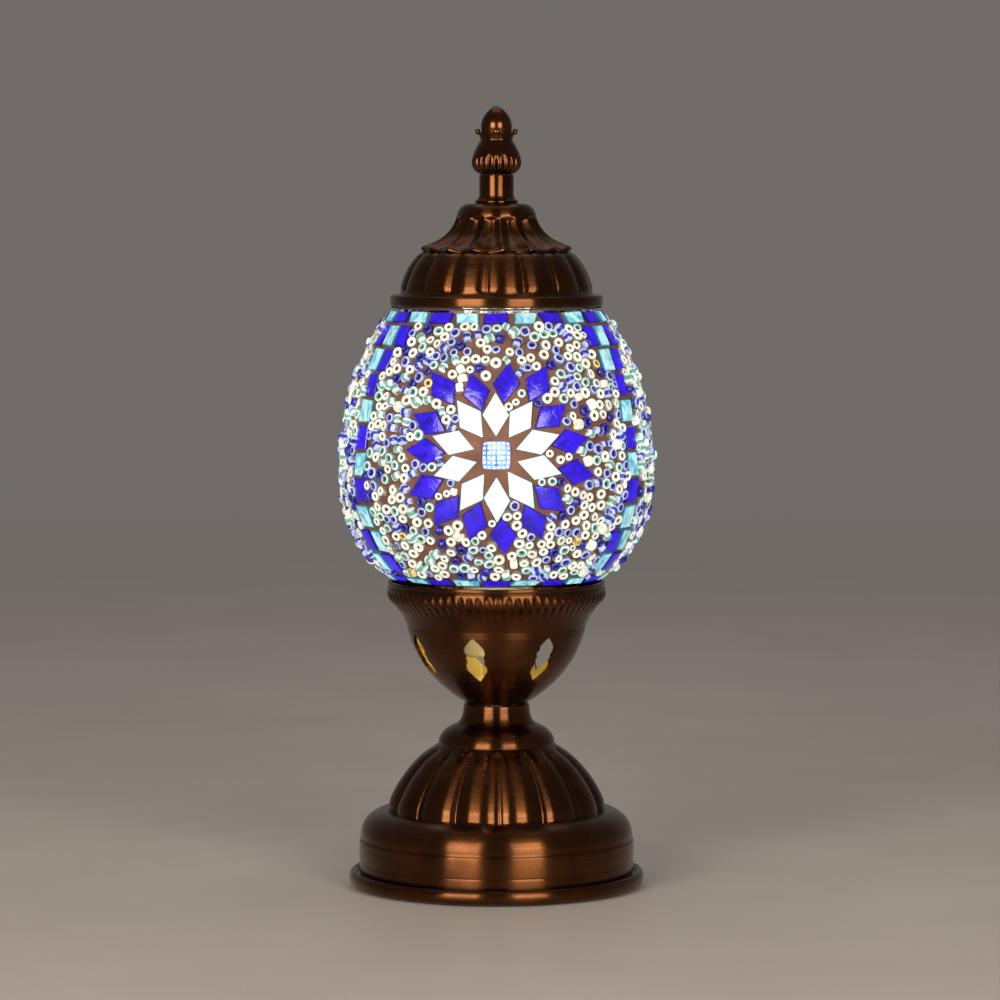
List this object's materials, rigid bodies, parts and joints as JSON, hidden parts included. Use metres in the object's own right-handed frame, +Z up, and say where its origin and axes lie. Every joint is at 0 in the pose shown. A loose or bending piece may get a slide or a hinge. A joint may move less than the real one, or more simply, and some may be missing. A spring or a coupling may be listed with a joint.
{
  "type": "mosaic glass table lamp",
  "caption": "Cordless table lamp: egg-shaped mosaic glass shade on a pierced metal bowl and a fluted round base, with a domed cap and a bud finial.",
  "frame": {"origin": "centre of the base, on the table that the rubber feet stand on", "axes": "+Z up along the lamp's axis, -Y the front, with one mosaic medallion facing it, +X to the right seen from the front"},
  "size_m": [0.1174, 0.1174, 0.29],
  "materials": {
    "bronze": "antique bronze plate, brushed, satin gloss",
    "brass": "plain brass",
    "steel": "zinc plated",
    "rubber": "matt black rubber",
    "silicone": "milky silicone",
    "black_plastic": "moulded, fine grain",
    "white_plastic": "moulded, satin",
    "holder_ceramic": "glazed cream",
    "cell": "printed sleeve, no lettering",
    "red_wire": "insulated wire",
    "black_wire": "insulated wire",
    "clear_glass": "clear blown glass",
    "mosaic": "cut glass tiles and seed beads in red-brown grout",
    "gem": "faceted, iridescent",
    "bulb_glow": "frosted, lit"
  },
  "bodies": {
    "lamp_base": {"base_plate": "bronze", "plate_lug_1": "steel", "plate_lug_2": "steel", "plate_lug_3": "steel", "plate_screw_1": "steel", "plate_screw_2": "steel", "plate_screw_3": "steel", "rubber_foot_1": "rubber", "rubber_foot_2": "rubber", "rubber_foot_3": "rubber", "base_shell": "bronze", "battery_box": "black_plastic", "battery_cell_1": "cell", "battery_cell_2": "cell", "battery_cell_3": "cell", "cell_spring_1": "steel", "cell_spring_2": "steel", "cell_spring_3": "steel", "cell_contact_1": "steel", "cell_contact_2": "steel", "cell_contact_3": "steel", "door_rail_left": "steel", "door_rail_right": "steel", "switch_body": "black_plastic", "threaded_tube": "brass", "lower_washer": "steel", "lower_nut": "brass", "upper_nut": "brass", "gallery_bowl": "bronze", "seat_ring": "silicone", "lampholder": "holder_ceramic", "lampholder_shell": "brass", "lampholder_contact": "brass", "wire_battery_to_switch": "red_wire", "wire_switch_to_lampholder": "red_wire", "wire_battery_to_lampholder": "black_wire"},
    "door": {"battery_door": "black_plastic"},
    "slider": {"switch_slider": "black_plastic"},
    "bulb_carrier": {"bulb_tip": "brass"},
    "bulb": {"bulb_globe": "bulb_glow", "bulb_housing": "white_plastic", "bulb_screw": "steel"},
    "shade": {"shade_glass": "clear_glass", "mosaic_skin": "mosaic", "medallion_gem_1": "gem", "medallion_gem_2": "gem", "medallion_gem_3": "gem", "bridge_bar": "steel", "cap_stud": "steel", "stud_nut_lower": "steel", "stud_nut_upper": "steel"},
    "cap": {"top_cap": "bronze", "cap_gasket": "rubber", "finial_sleeve": "bronze"},
    "finial_carrier": {"finial_insert": "brass"},
    "finial": {"finial": "bronze"}
  },
  "joints": [
    {"name": "battery_door_slide", "type": "slide", "parent": "lamp_base", "child": "door", "axis": [1, 0, 0], "range_m": [0, 0.007]},
    {"name": "switch_slide", "type": "slide", "parent": "lamp_base", "child": "slider", "axis": [1, 0, 0], "range_m": [-0.004, 0]},
    {"name": "bulb_rise", "type": "slide", "parent": "lamp_base", "child": "bulb_carrier", "axis": [0, 0, 1], "range_m": [0, 0.0085]},
    {"name": "bulb_unscrew", "type": "hinge", "parent": "bulb_carrier", "child": "bulb", "pos_m": [0, 0, 0.11], "axis": [0, 0, 1], "range_deg": [0, 1080]},
    {"name": "shade_lift", "type": "slide", "parent": "lamp_base", "child": "shade", "axis": [0, 0, 1], "range_m": [0, 0.09]},
    {"name": "cap_lift", "type": "slide", "parent": "shade", "child": "cap", "axis": [0, 0, 1], "range_m": [0, 0.06]},
    {"name": "finial_rise", "type": "slide", "parent": "cap", "child": "finial_carrier", "axis": [0, 0, 1], "range_m": [0, 0.0028]},
    {"name": "finial_unscrew", "type": "hinge", "parent": "finial_carrier", "child": "finial", "pos_m": [0, 0, 0.27], "axis": [0, 0, 1], "range_deg": [0, 1440]}
  ],
  "couplings": [
    {"joint": "bulb_unscrew", "follows": "bulb_rise", "rad_per_m": 2217.6},
    {"joint": "finial_unscrew", "follows": "finial_rise", "rad_per_m": 8976}
  ]
}
